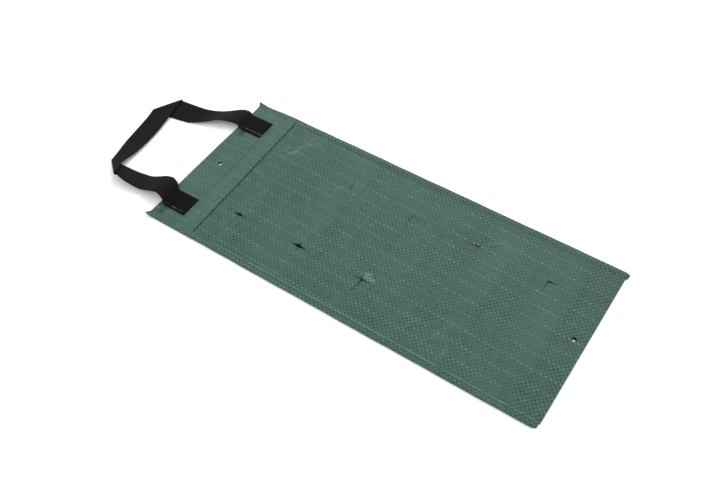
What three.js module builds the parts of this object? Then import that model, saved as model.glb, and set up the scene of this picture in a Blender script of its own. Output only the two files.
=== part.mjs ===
// A flat, empty hanging bag of green woven plastic tape, laid on its back.
// X runs across the bag, +Y runs from the closed bottom to the handle, +Z is up.
// The origin is under the middle of the whole object, handle included. Millimetres.
//
// The bag is one woven sheet folded at the bottom and sewn along both sides. It is made here as
// the pieces that move against each other: panels, a mouth lip, four flaps at each cross cut, and
// the handle. A cloth layer is drawn 0.8 thick in place of the real cloth's 0.3.

import * as THREE from 'three';

// Overall
const BAG_WIDTH = 200;
const BAG_LENGTH = 455;
const HANDLE_REACH = 102;
const SEAM_TAIL = 3;
const TOP = (BAG_LENGTH + SEAM_TAIL - HANDLE_REACH) / 2;
const BOTTOM = TOP - BAG_LENGTH;

// Layers
const CLOTH = 0.8;
const GAP = 0.3;
const WEBBING = 1.2;
const THREAD = 0.3;
const FRONT_Z = CLOTH + GAP;
const PANEL_TOP_Z = FRONT_Z + CLOTH;
const LIP_TOP_Z = FRONT_Z + 2 * CLOTH;
const TAB_Z = LIP_TOP_Z + GAP;
const TAB_TOP_Z = TAB_Z + WEBBING;

// Side seams, hem and bottom fold
const SEAM_WIDTH = 8.5;
const SEAM_INNER_X = BAG_WIDTH / 2 - SEAM_WIDTH;
const PANEL_HALF_WIDTH = SEAM_INNER_X - GAP;
const CORNER_CURL = 3;
const CURL_LENGTH = 12;
const LEFT_SEAM_SHORTFALL = 2.5;
const HEM_DEPTH = 54;
const FOLD_DEPTH = 3;
const STITCH_WIDTH = 0.8;
const SEAM_STITCH_INSET = 2.2;

// Round holes: across from the middle, down from the top edge
const HOLE_RADIUS = 2.5;
const TOP_HOLE = { x: -2.4, drop: 19.2 };
const BOTTOM_HOLE = { x: 1.8, drop: 443.6 };

// Cross cuts
const SLIT_ARM = 15;
const SLIT_KERF = 0.4;
const SLIT_TIP_KERF = 1.5;
const SLIT_COLUMNS = { left: -48, right: 49 };
const SLIT_ROWS = 5;
const FIRST_SLIT_DROP = 83.5;
const SLIT_PITCH = 77.5;
const HOLE_ARM = SLIT_ARM + GAP * Math.SQRT2;

// Handle
const WEBBING_WIDTH = 25;
const TAB_LENGTH = 33;
const TAB_SETBACK = 2.5;
const TAB_X = { left: -68, right: 65 };
const TAB_STITCH_INSET = 2.5;
const HEM_STITCH_DROP = TAB_LENGTH + 1.5;
const FOLD_RADIUS = 1;
const HANDLE_ROOT_Z = TAB_TOP_Z + GAP + THREAD + GAP + WEBBING / 2;
const STEPS_PER_SPAN = 3;
const FOLD_STEPS = 4;

function material(color, roughness) {
  return new THREE.MeshStandardMaterial({ color, roughness, metalness: 0 });
}

const woven = () => material(0x536f67, 0.55);
const webbing = () => material(0x272629, 0.8);
const seamThread = () => material(0x5f7d73, 0.6);
const blackThread = () => material(0x1e1d20, 0.7);

const bag = new THREE.Group();

function addMesh(name, geometry, finish, z = 0) {
  const mesh = new THREE.Mesh(geometry, finish);
  mesh.name = name;
  mesh.position.z = z;
  bag.add(mesh);
}

// A flat rectangle between two corners, as a shape in the XY plane.
function rectangle(x0, y0, x1, y1) {
  const shape = new THREE.Shape();
  shape.moveTo(x0, y0);
  shape.lineTo(x1, y0);
  shape.lineTo(x1, y1);
  shape.lineTo(x0, y1);
  shape.closePath();
  return shape;
}

function flatSheet(shape, thickness) {
  const options = { depth: thickness, bevelEnabled: false, curveSegments: 6 };
  return new THREE.ExtrudeGeometry(shape, options);
}

function roundHole({ x, drop }) {
  const hole = new THREE.Path();
  hole.absarc(x, TOP - drop, HOLE_RADIUS, 0, 2 * Math.PI, true);
  return hole;
}

// A side outline (Y along, Z up) carried across the bag from x0 to x1.
function crossBar(outline, x0, x1) {
  const geometry = new THREE.ExtrudeGeometry(outline, { depth: x1 - x0, bevelEnabled: false });
  geometry.rotateX(Math.PI / 2);
  geometry.rotateZ(Math.PI / 2);
  geometry.translate(x0, 0, 0);
  return geometry;
}

// Every cross cut, with the place of its centre.
function crossCuts() {
  const cuts = [];
  for (const [side, x] of Object.entries(SLIT_COLUMNS)) {
    for (let row = 0; row < SLIT_ROWS; row += 1) {
      const y = TOP - FIRST_SLIT_DROP - row * SLIT_PITCH;
      cuts.push({ name: `slit_${side}_${row + 1}`, x, y });
    }
  }
  return cuts;
}

// Back: a flat panel, a doubled hem at the mouth, and the fold that joins it to the front.
function addBack() {
  const hemLine = TOP - HEM_DEPTH;
  const foldTop = BOTTOM + FOLD_DEPTH;
  const panel = rectangle(-PANEL_HALF_WIDTH, foldTop + GAP, PANEL_HALF_WIDTH, hemLine - GAP);
  panel.holes.push(roundHole(BOTTOM_HOLE));
  addMesh('back_panel', flatSheet(panel, CLOTH), woven());

  const hem = rectangle(-PANEL_HALF_WIDTH, hemLine, PANEL_HALF_WIDTH, TOP);
  hem.holes.push(roundHole(TOP_HOLE));
  addMesh('back_hem', flatSheet(hem, CLOTH), woven());

  const radius = PANEL_TOP_Z / 2;
  const fold = new THREE.Shape();
  fold.moveTo(foldTop, 0);
  fold.lineTo(foldTop, PANEL_TOP_Z);
  fold.lineTo(BOTTOM + radius, PANEL_TOP_Z);
  fold.absarc(BOTTOM + radius, radius, radius, Math.PI / 2, 1.5 * Math.PI, false);
  fold.closePath();
  addMesh('bottom_fold', crossBar(fold, -PANEL_HALF_WIDTH, PANEL_HALF_WIDTH), woven());
}

// Front: a panel with a diamond opening at each cross cut, where its flaps sit.
function addFront() {
  const panel = rectangle(
    -PANEL_HALF_WIDTH, BOTTOM + FOLD_DEPTH + GAP, PANEL_HALF_WIDTH, TOP - HEM_DEPTH - GAP);
  panel.holes.push(roundHole(BOTTOM_HOLE));
  for (const { x, y } of crossCuts()) {
    const diamond = new THREE.Path();
    diamond.moveTo(x + HOLE_ARM, y);
    diamond.lineTo(x, y - HOLE_ARM);
    diamond.lineTo(x - HOLE_ARM, y);
    diamond.lineTo(x, y + HOLE_ARM);
    diamond.closePath();
    panel.holes.push(diamond);
  }
  addMesh('front_panel', flatSheet(panel, CLOTH), woven(), FRONT_Z);
}

// The four corners of each cross cut, hinged on the diamond's sides. The cut widens towards its
// tips, so that the corners clear each other as they lift.
function addFlaps() {
  const corners = { ne: [1, 1], nw: [-1, 1], sw: [-1, -1], se: [1, -1] };
  const inset = SLIT_KERF / 2;
  const tipInset = SLIT_TIP_KERF / 2;
  const reach = SLIT_ARM - tipInset;
  for (const cut of crossCuts()) {
    for (const [corner, [sx, sy]] of Object.entries(corners)) {
      const flap = new THREE.Shape();
      flap.moveTo(cut.x + sx * inset, cut.y + sy * inset);
      flap.lineTo(cut.x + sx * reach, cut.y + sy * tipInset);
      flap.lineTo(cut.x + sx * tipInset, cut.y + sy * reach);
      flap.closePath();
      addMesh(`${cut.name}_${corner}`, flatSheet(flap, CLOTH), woven(), FRONT_Z);
    }
  }
}

// The mouth lip: the front's doubled hem, with the line of stitching under the handle's ends.
function addLip() {
  const lip = rectangle(-PANEL_HALF_WIDTH, TOP - HEM_DEPTH, PANEL_HALF_WIDTH, TOP);
  lip.holes.push(roundHole(TOP_HOLE));
  addMesh('front_hem', flatSheet(lip, 2 * CLOTH), woven(), FRONT_Z);

  const stitchY = TOP - HEM_STITCH_DROP;
  const rowEnds = [TAB_X.left - WEBBING_WIDTH / 2, TAB_X.right + WEBBING_WIDTH / 2];
  const row = rectangle(rowEnds[0], stitchY, rowEnds[1], stitchY + STITCH_WIDTH);
  addMesh('hem_thread', flatSheet(row, THREAD), seamThread(), LIP_TOP_Z + GAP);
}

// Side seams: the two edges turned over together, with corners that curl up at the mouth.
function addSeam(side, sign, end) {
  const outline = new THREE.Shape();
  outline.moveTo(end, 0);
  outline.lineTo(TOP - CURL_LENGTH, 0);
  outline.quadraticCurveTo(TOP - CURL_LENGTH / 2, 0, TOP, CORNER_CURL);
  outline.lineTo(TOP, CORNER_CURL + LIP_TOP_Z / 2);
  outline.quadraticCurveTo(TOP - CURL_LENGTH / 2, LIP_TOP_Z, TOP - CURL_LENGTH, LIP_TOP_Z);
  outline.lineTo(end, LIP_TOP_Z);
  outline.closePath();
  const edges = [sign * SEAM_INNER_X, sign * BAG_WIDTH / 2].sort((a, b) => a - b);
  addMesh(`side_seam_${side}`, crossBar(outline, edges[0], edges[1]), woven());

  const stitchX = sign * (SEAM_INNER_X + SEAM_STITCH_INSET);
  const half = STITCH_WIDTH / 2;
  const row = rectangle(stitchX - half, BOTTOM + CURL_LENGTH, stitchX + half, TOP - CURL_LENGTH);
  addMesh(`seam_thread_${side}`, flatSheet(row, THREAD), seamThread(), LIP_TOP_Z + GAP);
}

// The handle's two sewn ends, each with a rectangle of stitching.
function addTab(side, x) {
  const half = WEBBING_WIDTH / 2;
  const low = TOP - TAB_LENGTH;
  const high = TOP - TAB_SETBACK;
  const tab = rectangle(x - half, low, x + half, high);
  addMesh(`handle_tab_${side}`, flatSheet(tab, WEBBING), webbing(), TAB_Z);

  const outer = half - TAB_STITCH_INSET;
  const inner = outer - STITCH_WIDTH;
  const margin = TAB_STITCH_INSET;
  const stitch = rectangle(x - outer, low + margin, x + outer, high - margin);
  const open = margin + STITCH_WIDTH;
  stitch.holes.push(rectangle(x - inner, low + open, x + inner, high - open));
  addMesh(`tab_thread_${side}`, flatSheet(stitch, THREAD), blackThread(), TAB_TOP_Z + GAP);
}

// The strap's two edges at each station, as [x, y above the top edge, z]: up the left leg, across
// the grip and down the right leg. Each leg leaves its tab over a hump, and the grip lies over
// both legs at a diagonal fold.
const LEFT_LEG = [
  [[-80.5, -1.2, HANDLE_ROOT_Z], [-55.5, -1.2, HANDLE_ROOT_Z]],
  [[-80.5, 0, 9], [-55.5, 0, 10]],
  [[-80.5, 5, 12.5], [-55.5, 5, 13.5]],
  [[-81, 12, 11.5], [-56, 12, 11.5]],
  [[-81, 20, 8.5], [-56.5, 20, 7]],
  [[-82, 30, 6], [-58, 31, 2.5]],
  [[-83, 42, 8], [-59.3, 43, 1]],
  [[-83, 52, 10], [-60.3, 55, 0.8]],
  [[-81.5, 60.5, 10.5], [-62, 88, 0.8]],
];
const GRIP = [
  [[-62, 68, 5], [-48, 90.5, 1.6]],
  [[-38, 69, 3], [-34.5, 93, 0.9]],
  [[-8, 71.5, 2.4], [-12, 96, 0.9]],
  [[20, 75.8, 3.6], [8, 98.8, 1.4]],
];
const RIGHT_LEG = [
  [[51.5, 80.5, 3], [21, 100.8, 0.8]],
  [[52, 62, 4.5], [27.3, 60, 0.8]],
  [[56.5, 48, 1.5], [31.5, 46, 2]],
  [[61.5, 36, 0.8], [38, 33, 5]],
  [[67.5, 25.5, 1.2], [44, 22, 8.8]],
  [[76, 11, 4.5], [50, 10, 8.5]],
  [[77.4, 1, 6.5], [52, 1, 7.5]],
  [[77.5, -1.2, HANDLE_ROOT_Z], [52.5, -1.2, HANDLE_ROOT_Z]],
];

// Stations raised by two fold radii: the upper layer of a fold.
function lifted([a, b]) {
  return [[a[0], a[1], a[2] + 2 * FOLD_RADIUS], [b[0], b[1], b[2] + 2 * FOLD_RADIUS]];
}

// The half turn of the strap about its crease line, bulging away from the bag.
function foldStations([a, b], turnSign) {
  const along = new THREE.Vector2(b[0] - a[0], b[1] - a[1]).normalize();
  const out = new THREE.Vector2(-along.y, along.x).multiplyScalar(turnSign);
  const stations = [];
  for (let step = 1; step < FOLD_STEPS; step += 1) {
    const angle = Math.PI * step / FOLD_STEPS;
    const bulge = FOLD_RADIUS * Math.sin(angle);
    const rise = FOLD_RADIUS * (1 - Math.cos(angle));
    const move = (p) => [p[0] + out.x * bulge, p[1] + out.y * bulge, p[2] + rise];
    stations.push([move(a), move(b)]);
  }
  return stations;
}

// Points along a smooth curve through one edge of a list of stations.
function smoothEdge(stations, edge) {
  const points = stations.map((station) => new THREE.Vector3(...station[edge]));
  const curve = new THREE.CatmullRomCurve3(points, false, 'centripetal');
  return curve.getPoints((points.length - 1) * STEPS_PER_SPAN);
}

function smoothSpan(stations) {
  const a = smoothEdge(stations, 0);
  const b = smoothEdge(stations, 1);
  return a.map((point, i) => [point, b[i]]);
}

function strapStations() {
  const leftCrease = LEFT_LEG[LEFT_LEG.length - 1];
  const rightCrease = RIGHT_LEG[0];
  const toVectors = (stations) => stations.map(
    ([a, b]) => [new THREE.Vector3(...a), new THREE.Vector3(...b)]);
  return [
    ...smoothSpan(LEFT_LEG),
    ...toVectors(foldStations(leftCrease, 1)),
    ...smoothSpan([lifted(leftCrease), ...GRIP, lifted(rightCrease)]),
    ...toVectors(foldStations(rightCrease, -1).reverse()),
    ...smoothSpan(RIGHT_LEG),
  ];
}

// A closed band of the webbing's thickness carried along the stations.
function bandGeometry(stations, thickness) {
  const last = stations.length - 1;
  const middle = stations.map(([a, b]) => a.clone().add(b).multiplyScalar(0.5));
  const positions = [];
  stations.forEach(([a, b], i) => {
    const ahead = middle[Math.min(i + 1, last)].clone().sub(middle[Math.max(i - 1, 0)]);
    const normal = b.clone().sub(a).cross(ahead).setLength(thickness / 2);
    for (const corner of [a.clone().add(normal), b.clone().add(normal),
      b.clone().sub(normal), a.clone().sub(normal)]) {
      positions.push(corner.x, corner.y + TOP, corner.z);
    }
  });
  const index = [0, 2, 1, 0, 3, 2];
  for (let i = 0; i < last; i += 1) {
    for (let side = 0; side < 4; side += 1) {
      const here = 4 * i + side;
      const next = 4 * i + (side + 1) % 4;
      index.push(here, next + 4, here + 4, here, next, next + 4);
    }
  }
  const end = 4 * last;
  index.push(end, end + 1, end + 2, end, end + 2, end + 3);
  const geometry = new THREE.BufferGeometry();
  geometry.setAttribute('position', new THREE.Float32BufferAttribute(positions, 3));
  geometry.setIndex(index);
  geometry.computeVertexNormals();
  return geometry;
}

addBack();
addFront();
addFlaps();
addLip();
addSeam('left', -1, BOTTOM + LEFT_SEAM_SHORTFALL);
addSeam('right', 1, BOTTOM - SEAM_TAIL);
for (const [side, x] of Object.entries(TAB_X)) {
  addTab(side, x);
}
addMesh('handle_strap', bandGeometry(strapStations(), WEBBING), webbing());

export default bag;
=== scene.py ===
# %% [markdown]
# A hanging planting bag, laid flat
#
# This lesson builds a flat, empty bag of green woven plastic tape with a black webbing handle.
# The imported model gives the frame: which pieces move, and where they are. Every sheet, seam,
# strap and stitch here is worked out with numpy and put round that frame.

import math

import bpy
import numpy as np
from mathutils import Matrix, Vector


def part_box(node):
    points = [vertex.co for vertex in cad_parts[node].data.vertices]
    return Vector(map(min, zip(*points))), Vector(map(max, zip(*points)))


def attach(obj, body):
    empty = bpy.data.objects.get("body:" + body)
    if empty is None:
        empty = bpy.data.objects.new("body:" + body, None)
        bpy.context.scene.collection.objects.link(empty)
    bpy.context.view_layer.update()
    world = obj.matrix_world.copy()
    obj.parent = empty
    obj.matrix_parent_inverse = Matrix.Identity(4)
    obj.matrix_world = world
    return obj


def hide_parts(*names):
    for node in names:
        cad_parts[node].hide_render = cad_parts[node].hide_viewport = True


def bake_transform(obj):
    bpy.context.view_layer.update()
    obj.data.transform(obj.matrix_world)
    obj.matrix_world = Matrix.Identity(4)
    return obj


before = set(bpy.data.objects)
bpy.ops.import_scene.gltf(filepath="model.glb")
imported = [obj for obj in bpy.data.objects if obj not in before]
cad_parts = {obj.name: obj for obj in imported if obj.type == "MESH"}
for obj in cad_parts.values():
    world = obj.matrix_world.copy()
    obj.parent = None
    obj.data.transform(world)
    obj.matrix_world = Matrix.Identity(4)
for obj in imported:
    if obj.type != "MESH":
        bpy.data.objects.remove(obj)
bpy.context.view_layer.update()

MM = 0.001
FULL_TURN = 6.2832

# %% [markdown]
# Where things are
#
# The frame knows the size of each piece, so the main lines of the bag are read from it: the
# top edge, the bottom fold, the seams' inner lines and the line under the hem. Everything
# below is in metres, and a "drop" is a distance down from the top edge.

# %% Main lines of the bag
TOP_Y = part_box("front_hem")[1][1]
HEM_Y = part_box("front_hem")[0][1]
BOTTOM_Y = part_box("bottom_fold")[0][1]
HALF_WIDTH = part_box("side_seam_right")[1][0]
SEAM_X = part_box("side_seam_right")[0][0]
HOLE_RADIUS = 2.5 * MM
TOP_MM = float(TOP_Y / MM)

print("bag length", round(TOP_Y - BOTTOM_Y, 4), "width", round(2 * HALF_WIDTH, 4))

# %% [markdown]
# The camera
#
# The bag is seen from its lower left, a little more than an arm's length away. The camera is
# placed from the point it looks at, its distance, its two angles and a small roll.

# %% Camera
AIM = Vector((-0.008, TOP_Y - 0.2095, 0.0018))
DISTANCE = 0.896
AZIMUTH = math.radians(-53.96)
ELEVATION = math.radians(52.02)
ROLL = math.radians(-2.8)
LENS = 43.77


def place_camera():
    """Stands the camera DISTANCE from AIM along its two angles, then rolls it about its own axis."""
    back = Vector((
        math.sin(AZIMUTH) * math.cos(ELEVATION),
        -math.cos(AZIMUTH) * math.cos(ELEVATION),
        math.sin(ELEVATION),
    ))
    camera = bpy.data.objects.new("camera", bpy.data.cameras.new("camera"))
    camera.data.lens = LENS
    camera.data.clip_start = 0.01
    turn = (-back).to_track_quat("-Z", "Y").to_matrix().to_4x4()
    camera.matrix_world = (
        Matrix.Translation(AIM + back * DISTANCE) @ turn @ Matrix.Rotation(ROLL, 4, "Z")
    )
    bpy.context.scene.collection.objects.link(camera)
    bpy.context.scene.camera = camera


place_camera()
print("camera", DISTANCE, "m from", [round(x, 4) for x in AIM])

# %% [markdown]
# Meshes from arrays
#
# Almost every piece is a grid of points: rows along it and columns across it. One helper
# turns such a grid into a mesh with its own UV map, called cloth, whose values are real
# distances in metres, so that a weave keeps its scale wherever the sheet bends. Two more
# close a tube's ends and carry a sheet round a bend.

# %% Mesh helpers
def add_object(name, points, faces, uv=None, materials=(), smooth=True):
    """Makes a mesh object from points and faces; uv is one pair for each point."""
    mesh = bpy.data.meshes.new(name)
    mesh.from_pydata(np.asarray(points, float).tolist(), [], [list(map(int, f)) for f in faces])
    mesh.update()
    if uv is not None:
        layer = mesh.uv_layers.new(name="cloth")
        corner = np.empty(len(mesh.loops), int)
        mesh.loops.foreach_get("vertex_index", corner)
        layer.data.foreach_set("uv", np.asarray(uv, np.float32)[corner].ravel())
    mesh.polygons.foreach_set("use_smooth", np.full(len(mesh.polygons), smooth))
    for material in materials:
        mesh.materials.append(material)
    obj = bpy.data.objects.new(name, mesh)
    bpy.context.scene.collection.objects.link(obj)
    return obj


def grid_faces(rows, columns, around=False):
    """Quads between neighbours of a rows by columns grid; around joins the last column to the first."""
    r = np.arange(rows - 1)[:, None]
    c = np.arange(columns if around else columns - 1)[None, :]
    right = (c + 1) % columns
    corners = (r * columns + c, r * columns + right, (r + 1) * columns + right, (r + 1) * columns + c)
    return np.stack([q + 0 * (r + c) for q in corners], axis=-1).reshape(-1, 4)


def tube_faces(rows, columns, flip=False):
    """The quads round a closed tube and a cap on each end; flip turns them all inside out."""
    last = (rows - 1) * columns
    faces = grid_faces(rows, columns, around=True).tolist()
    faces += [list(range(columns))[::-1], list(range(last, last + columns))]
    return [face[::-1] for face in faces] if flip else faces


def bend_grid(x_lines, turn, y, reach, first, last):
    """Rows of points round a half turn, from the height first to the height last.

    Each row lies out from y by reach times the sine of its angle, and between the two heights
    by its cosine.
    """
    shape = (len(turn), len(x_lines))
    turn = turn[:, None]
    return np.stack([
        np.broadcast_to(x_lines, shape), np.broadcast_to(y + reach * np.sin(turn), shape),
        (first + last) / 2 + (first - last) / 2 * np.cos(turn)], -1)


def thicken(obj, thickness, offset, inside=0, rim=0):
    """A live Solidify: offset -1 grows the wall under the surface, and 1 over it.

    The sheet's own edges are marked sharp, so that its face isn't shaded as if it rounded
    over the rim. inside and rim step to other material slots for the new face and its edges.
    """
    mesh = obj.data
    edge = np.empty(len(mesh.loops), int)
    mesh.loops.foreach_get("edge_index", edge)
    mesh.edges.foreach_set("use_edge_sharp", np.bincount(edge, minlength=len(mesh.edges)) == 1)
    wall = obj.modifiers.new("thickness", "SOLIDIFY")
    wall.material_offset = inside
    wall.material_offset_rim = rim
    wall.thickness = thickness
    wall.offset = offset
    wall.use_even_offset = True


def smoothstep(t):
    """Rises from 0 to 1 with no corner at either end: 3 t squared less 2 t cubed."""
    t = np.clip(t, 0.0, 1.0)
    return t * t * (3 - 2 * t)


def bump_at(value, centre, width):
    """A soft hill: a bell curve of the distance from centre, measured in widths."""
    return np.exp(-(((value - centre) / width) ** 2))


# %% [markdown]
# Shader maths
#
# A socket is wrapped in a small class, so that a pattern can be written as an ordinary
# expression. Each operator adds one Math node.

# %% Shader helper
class Shade:
    """A value in a material's nodes. Arithmetic on it adds Math nodes."""

    def __init__(self, nodes, socket):
        self.nodes = nodes
        self.socket = socket

    def clamped(self):
        return self.at_least(0.0).at_most(1.0)

    def ramp(self, low, high):
        """0 below low, 1 above high, and straight between them."""
        return ((self - low) / (high - low)).clamped()

    def hill(self, centre, width):
        """1 at centre, falling straight to 0 at a width away."""
        return (1.0 - (self - centre).absolute() / width).clamped()


def maths_method(operation, swapped=False):
    """A method that adds one Math node; swapped puts the value itself last, as in 1 less x."""
    def method(self, *others):
        values = [*others, self] if swapped else [self, *others]
        return self.nodes.add("ShaderNodeMath", {"operation": operation}, values)
    return method


OPERATIONS = {
    "__add__": "ADD", "__sub__": "SUBTRACT", "__mul__": "MULTIPLY", "__truediv__": "DIVIDE",
    "__pow__": "POWER", "floor": "FLOOR", "fraction": "FRACT", "modulo": "FLOORED_MODULO",
    "absolute": "ABSOLUTE", "less_than": "LESS_THAN", "at_most": "MINIMUM",
    "at_least": "MAXIMUM", "sine": "SINE",
}
for name, operation in OPERATIONS.items():
    setattr(Shade, name, maths_method(operation))
for name in ("add", "sub", "mul"):
    setattr(Shade, f"__r{name}__", maths_method(OPERATIONS[f"__{name}__"], swapped=True))


class Nodes:
    """Builds one material and its nodes."""

    def __init__(self, name):
        self.material = bpy.data.materials.new(name)
        self.material.use_nodes = True
        self.tree = self.material.node_tree
        self.tree.nodes.clear()

    def add(self, kind, settings=None, inputs=None, output=0):
        """Adds a node: its settings are set first, then the values or links of its sockets."""
        node = self.tree.nodes.new(kind)
        for key, value in (settings or {}).items():
            setattr(node, key, value)
        pairs = inputs.items() if isinstance(inputs, dict) else enumerate(inputs or [])
        for key, value in pairs:
            socket = node.inputs[key]
            if isinstance(value, Shade):
                self.tree.links.new(value.socket, socket)
            else:
                socket.default_value = value
        return Shade(self, node.outputs[output]) if len(node.outputs) else node

    def uv(self):
        """The piece's own cloth coordinates, in millimetres across and along."""
        place = self.add("ShaderNodeUVMap", {"uv_map": "cloth"})
        split = self.add("ShaderNodeSeparateXYZ", None, [place]).socket.node
        return [Shade(self, split.outputs[i]) * 1000.0 for i in (0, 1)]

    def point(self, x, y, z=0.0):
        return self.add("ShaderNodeCombineXYZ", None, [x, y, z])

    def noise(self, x, y, size, detail=2.0, z=0.0):
        """Smooth noise about 0.5, with lumps about size across, in the units of x and y."""
        place = self.point(x / size, y / size, z)
        return self.add(
            "ShaderNodeTexNoise", {"noise_dimensions": "3D"},
            {"Vector": place, "Scale": 1.0, "Detail": detail, "Roughness": 0.5})

    def random(self, value, seed):
        """A steady random number from 0 to 1 for each whole value."""
        place = self.point(value, seed, 0.5)
        return self.add("ShaderNodeTexWhiteNoise", {"noise_dimensions": "3D"}, {"Vector": place})

    def mix(self, factor, a, b):
        """A colour from a to b, through the mix node's own sockets for colours."""
        return self.add("ShaderNodeMix", {"data_type": "RGBA"}, {0: factor, 6: a, 7: b}, output=2)

    def bump(self, height, distance, strength):
        inputs = {"Height": height, "Distance": distance, "Strength": strength}
        return self.add("ShaderNodeBump", None, inputs)

    def finish(self, inputs):
        """The surface shader, from its sockets' values and patterns. Returns the material."""
        shader = self.add("ShaderNodeBsdfPrincipled", None, inputs)
        self.add("ShaderNodeOutputMaterial", None, {"Surface": shader})
        return self.material


def linear(red, green, blue):
    """A colour given as 0 to 255 screen values, as the linear values that shaders use."""
    def one(v):
        v = v / 255
        return v / 12.92 if v <= 0.04045 else ((v + 0.055) / 1.055) ** 2.4
    return (one(red), one(green), one(blue), 1.0)


# %% [markdown]
# Stage and light
#
# A plain white floor runs far past the bag. Light is high and soft: a wide panel to the right
# of the view, a weaker one on the left, and an even white sky that keeps the shadows pale.

# %% Stage and light
FLOOR_SIDE = 6.0
FLOOR_LEVEL = -0.2 * MM


def add_floor():
    """A square of plain floor, a hair under the bag."""
    corners = np.array([[-1, -1], [1, -1], [1, 1], [-1, 1]]) * FLOOR_SIDE
    points = np.column_stack([corners, np.full(4, FLOOR_LEVEL)])
    white = Nodes("white_floor").finish({"Base Color": (0.92, 0.92, 0.925, 1.0), "Roughness": 0.7})
    floor = add_object("floor", points, [(0, 1, 2, 3)], materials=[white], smooth=False)


def add_panel_light(name, place, size, power):
    """A square lamp at place that faces the bag."""
    lamp = bpy.data.lights.new(name, "AREA")
    lamp.shape = "SQUARE"
    lamp.size = size
    lamp.energy = power
    obj = bpy.data.objects.new(name, lamp)
    obj.location = place
    obj.rotation_mode = "QUATERNION"
    obj.rotation_quaternion = (AIM - Vector(place)).to_track_quat("-Z", "Y")
    bpy.context.scene.collection.objects.link(obj)


def add_sky(strength):
    """Even white light from all round."""
    world = bpy.data.worlds.new("soft_sky")
    world.use_nodes = True
    background = world.node_tree.nodes["Background"]
    background.inputs["Color"].default_value = (1.0, 1.0, 1.0, 1.0)
    background.inputs["Strength"].default_value = strength
    bpy.context.scene.world = world


add_floor()
add_panel_light("key_light", (1.5, 0.35, 1.7), 1.4, 26)
add_panel_light("fill_light", (-1.6, 0.9, 1.6), 1.8, 9)
add_sky(1.03)
bpy.context.scene.view_settings.view_transform = "Standard"

# %% [markdown]
# Woven plastic tape
#
# The cloth is a plain weave of flat green tapes about 2.6 mm wide. Where a lengthwise tape
# lies on top, light leaves it differently from where a crosswise tape does, so the cloth
# shows a fine checkerboard. Every sixth lengthwise tape is paler and shows as a row of
# dashes. The tapes' crowns and the gaps at their edges go into a bump.

# %% Woven tape material
TAPE_ACROSS = 2.65
TAPE_ALONG = 2.5
STRIPE_EVERY = 6
TAPE_DRIFT = 0.03
STRIPE_START = 4.5
DEEP_GREEN = (15, 37, 31)
PALE_GREEN = (96, 136, 125)

# How far from DEEP_GREEN to PALE_GREEN plain cloth lies, how much darker the middle of a
# crosswise tape is, and how much paler a dash.
PLAIN_SHADE = 0.288
DOT_SHADE = 0.14
DASH_SHADE = 0.29

# Bands that the packing folds left, as the first and last drop in millimetres and how flat they were
# pressed; a negative value is a band where the weave stands out more. The same value lightens a band a
# little, and a negative one darkens it: painted light for the slopes at the folds.
PRESSED_AND_LIT_BANDS = [
    (-2, 30, 0.2), (52, 88, 0.5), (132, 171, 0.55), (172, 190, -0.2),
    (333, 351, 0.35), (387, 420, 0.5), (421, 456, -0.12),
]


def pressed(y):
    """How flat the cloth lies at y: the sum of the bands, each with a soft start and a sharp end."""
    drop = TOP_MM - y
    total = 0.0
    for first, last, strength in PRESSED_AND_LIT_BANDS:
        past_end = drop.ramp(last - 1.0, last + 1.0)
        total = total + drop.ramp(first - 5.0, first + 5.0) * (1.0 - past_end) * strength
    return total


# Painted highlights along creases, cut arms and a lifted flap, and painted shade in the cuts' gaps and
# under the hem's raw edge: each as its start and end in x and drop, its width in millimetres and how
# pale it is; a negative value paints a dark line of shade.
CREASE_HIGHLIGHT_AND_SHADE_LINES = [
    (63, 68, 53, 69, 2.4, 0.09),
    (54, 67, 51, 77, 2.8, 0.13),
    (50, 73, 58, 81, 3.2, 0.2),
    (54, 79, 71, 82, 3.4, 0.18),
    (64, 80, 91, 100, 3.4, 0.11),
    (72, 77, 92, 92, 6.0, 0.06),
    (28, 80, 50, 79, 1.4, -0.06),
    (-44, 160, -14, 159, 1.2, 0.16),
    (32, 148, 50, 158, 2.2, 0.10),
    (-86, 322, -56, 336, 2.0, 0.12),
    (-82, 300, -52, 311, 2.0, 0.10),
    (-88, 345, -66, 352, 1.6, 0.12),
    (54, 318, 72, 343, 1.6, 0.12),
    (-182, 59.0, 182, 51.4, 1.8, -0.12),
    (-68, 236, -55, 237, 2.0, -0.13),
    (-56, 237.3, -40, 237.3, 1.3, -0.1),
    (33, 238, 50, 237, 2.4, -0.08),
    (46, 239, 47.5, 253, 2.0, -0.06),
    (43.5, 163.5, 50, 160, 2.0, -0.14),
    (46, 140, 45.5, 177, 2.0, -0.04),
    (-44.5, 236, -43.5, 252, 3.2, 0.36),
    (-41, 236, -38, 246, 2.6, 0.42),
]


def painted_line(x, y, x0, drop0, x1, drop1, width, strength):
    """A painted line between two places, paler for a positive strength and darker for a negative one: a
    ridge across it, faded over a quarter of it at each end.
    """
    line = (x1 - x0, drop0 - drop1)
    length = float(np.hypot(*line))
    tx, ty = (float(v) / length for v in line)
    dx, dy = x - float(x0), y - (TOP_MM - drop0)
    along = dx * tx + dy * ty
    ends = along.ramp(0.0, length / 4) * (1.0 - along.ramp(length * 0.75, length))
    return (dx * -ty + dy * tx).hill(0.0, width) * ends * strength


def scaled(colour, factor):
    """A screen colour as linear values, times factor."""
    return tuple(c * factor for c in linear(*colour)[:3]) + (1.0,)


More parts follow.
